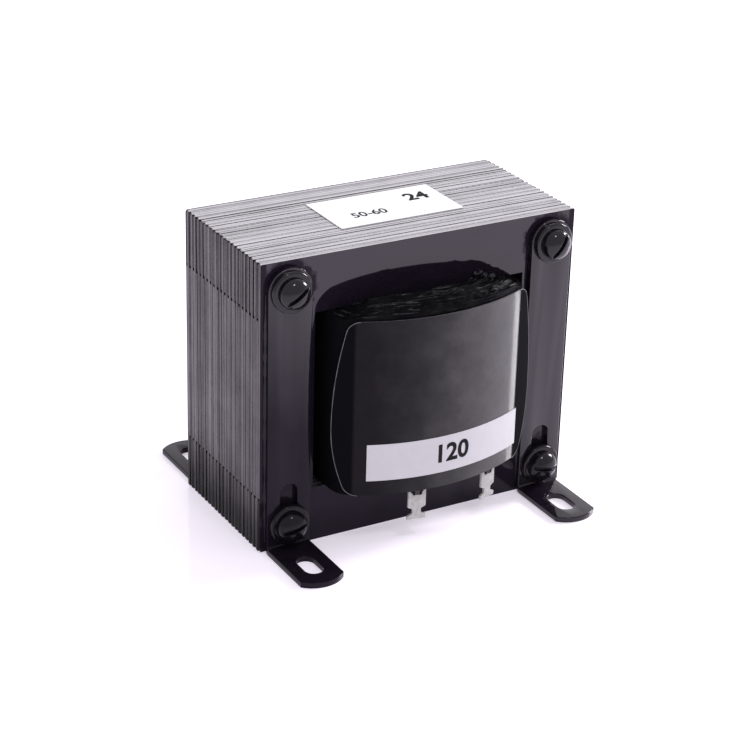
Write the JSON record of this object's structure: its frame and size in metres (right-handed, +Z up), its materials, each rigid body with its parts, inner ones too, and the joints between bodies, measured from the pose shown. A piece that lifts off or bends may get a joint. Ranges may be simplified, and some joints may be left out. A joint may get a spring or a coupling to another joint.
{
  "type": "laminated chassis transformer",
  "caption": "Open-frame mains transformer with an interleaved E and I core, a varnished coil, solder lugs and slotted feet bent out from clamping strips for fixing to a chassis.",
  "frame": {"origin": "in the plane of the feet's undersides, below the middle of the core", "axes": "+Z up, +X along the core's width, -Y towards the front with the supply lugs"},
  "size_m": [0.0952, 0.0916, 0.083],
  "materials": {
    "core_steel": "cut edges of silicon steel, satin grey with fine lengthwise lines; the outer faces dipped black",
    "black_varnish": "glossy black dip varnish",
    "coil_cover": "glossy black varnished paper",
    "margin_paper": "rough paper turns soaked in black varnish",
    "kraft_paper": "brown insulating paper",
    "copper_wire": "enamelled copper wire in layers",
    "wedge_fibre": "red-brown vulcanised fibre",
    "tinned_metal": "dull tinned metal",
    "label_paper": "white label film, plain black numerals added in the visual model"
  },
  "bodies": {
    "root": {"lamination_book_1": "core_steel", "lamination_book_2": "core_steel", "bracket_front_left": "black_varnish", "bracket_front_right": "black_varnish", "bracket_rear_left": "black_varnish", "bracket_rear_right": "black_varnish", "clamp_screws": "black_varnish", "screw_washers": "black_varnish", "clamp_nuts": "black_varnish", "coil_wrap": "coil_cover", "cover_sheet_front": "coil_cover", "cover_sheet_rear": "coil_cover", "end_margin_top": "margin_paper", "end_margin_bottom": "margin_paper", "winding_tube": "kraft_paper", "winding_barrier": "kraft_paper", "inner_winding": "copper_wire", "outer_winding": "copper_wire", "inner_leads": "copper_wire", "tongue_wedges": "wedge_fibre", "supply_lugs": "tinned_metal", "output_lugs": "tinned_metal", "coil_label": "label_paper", "top_label": "label_paper"}
  },
  "joints": []
}
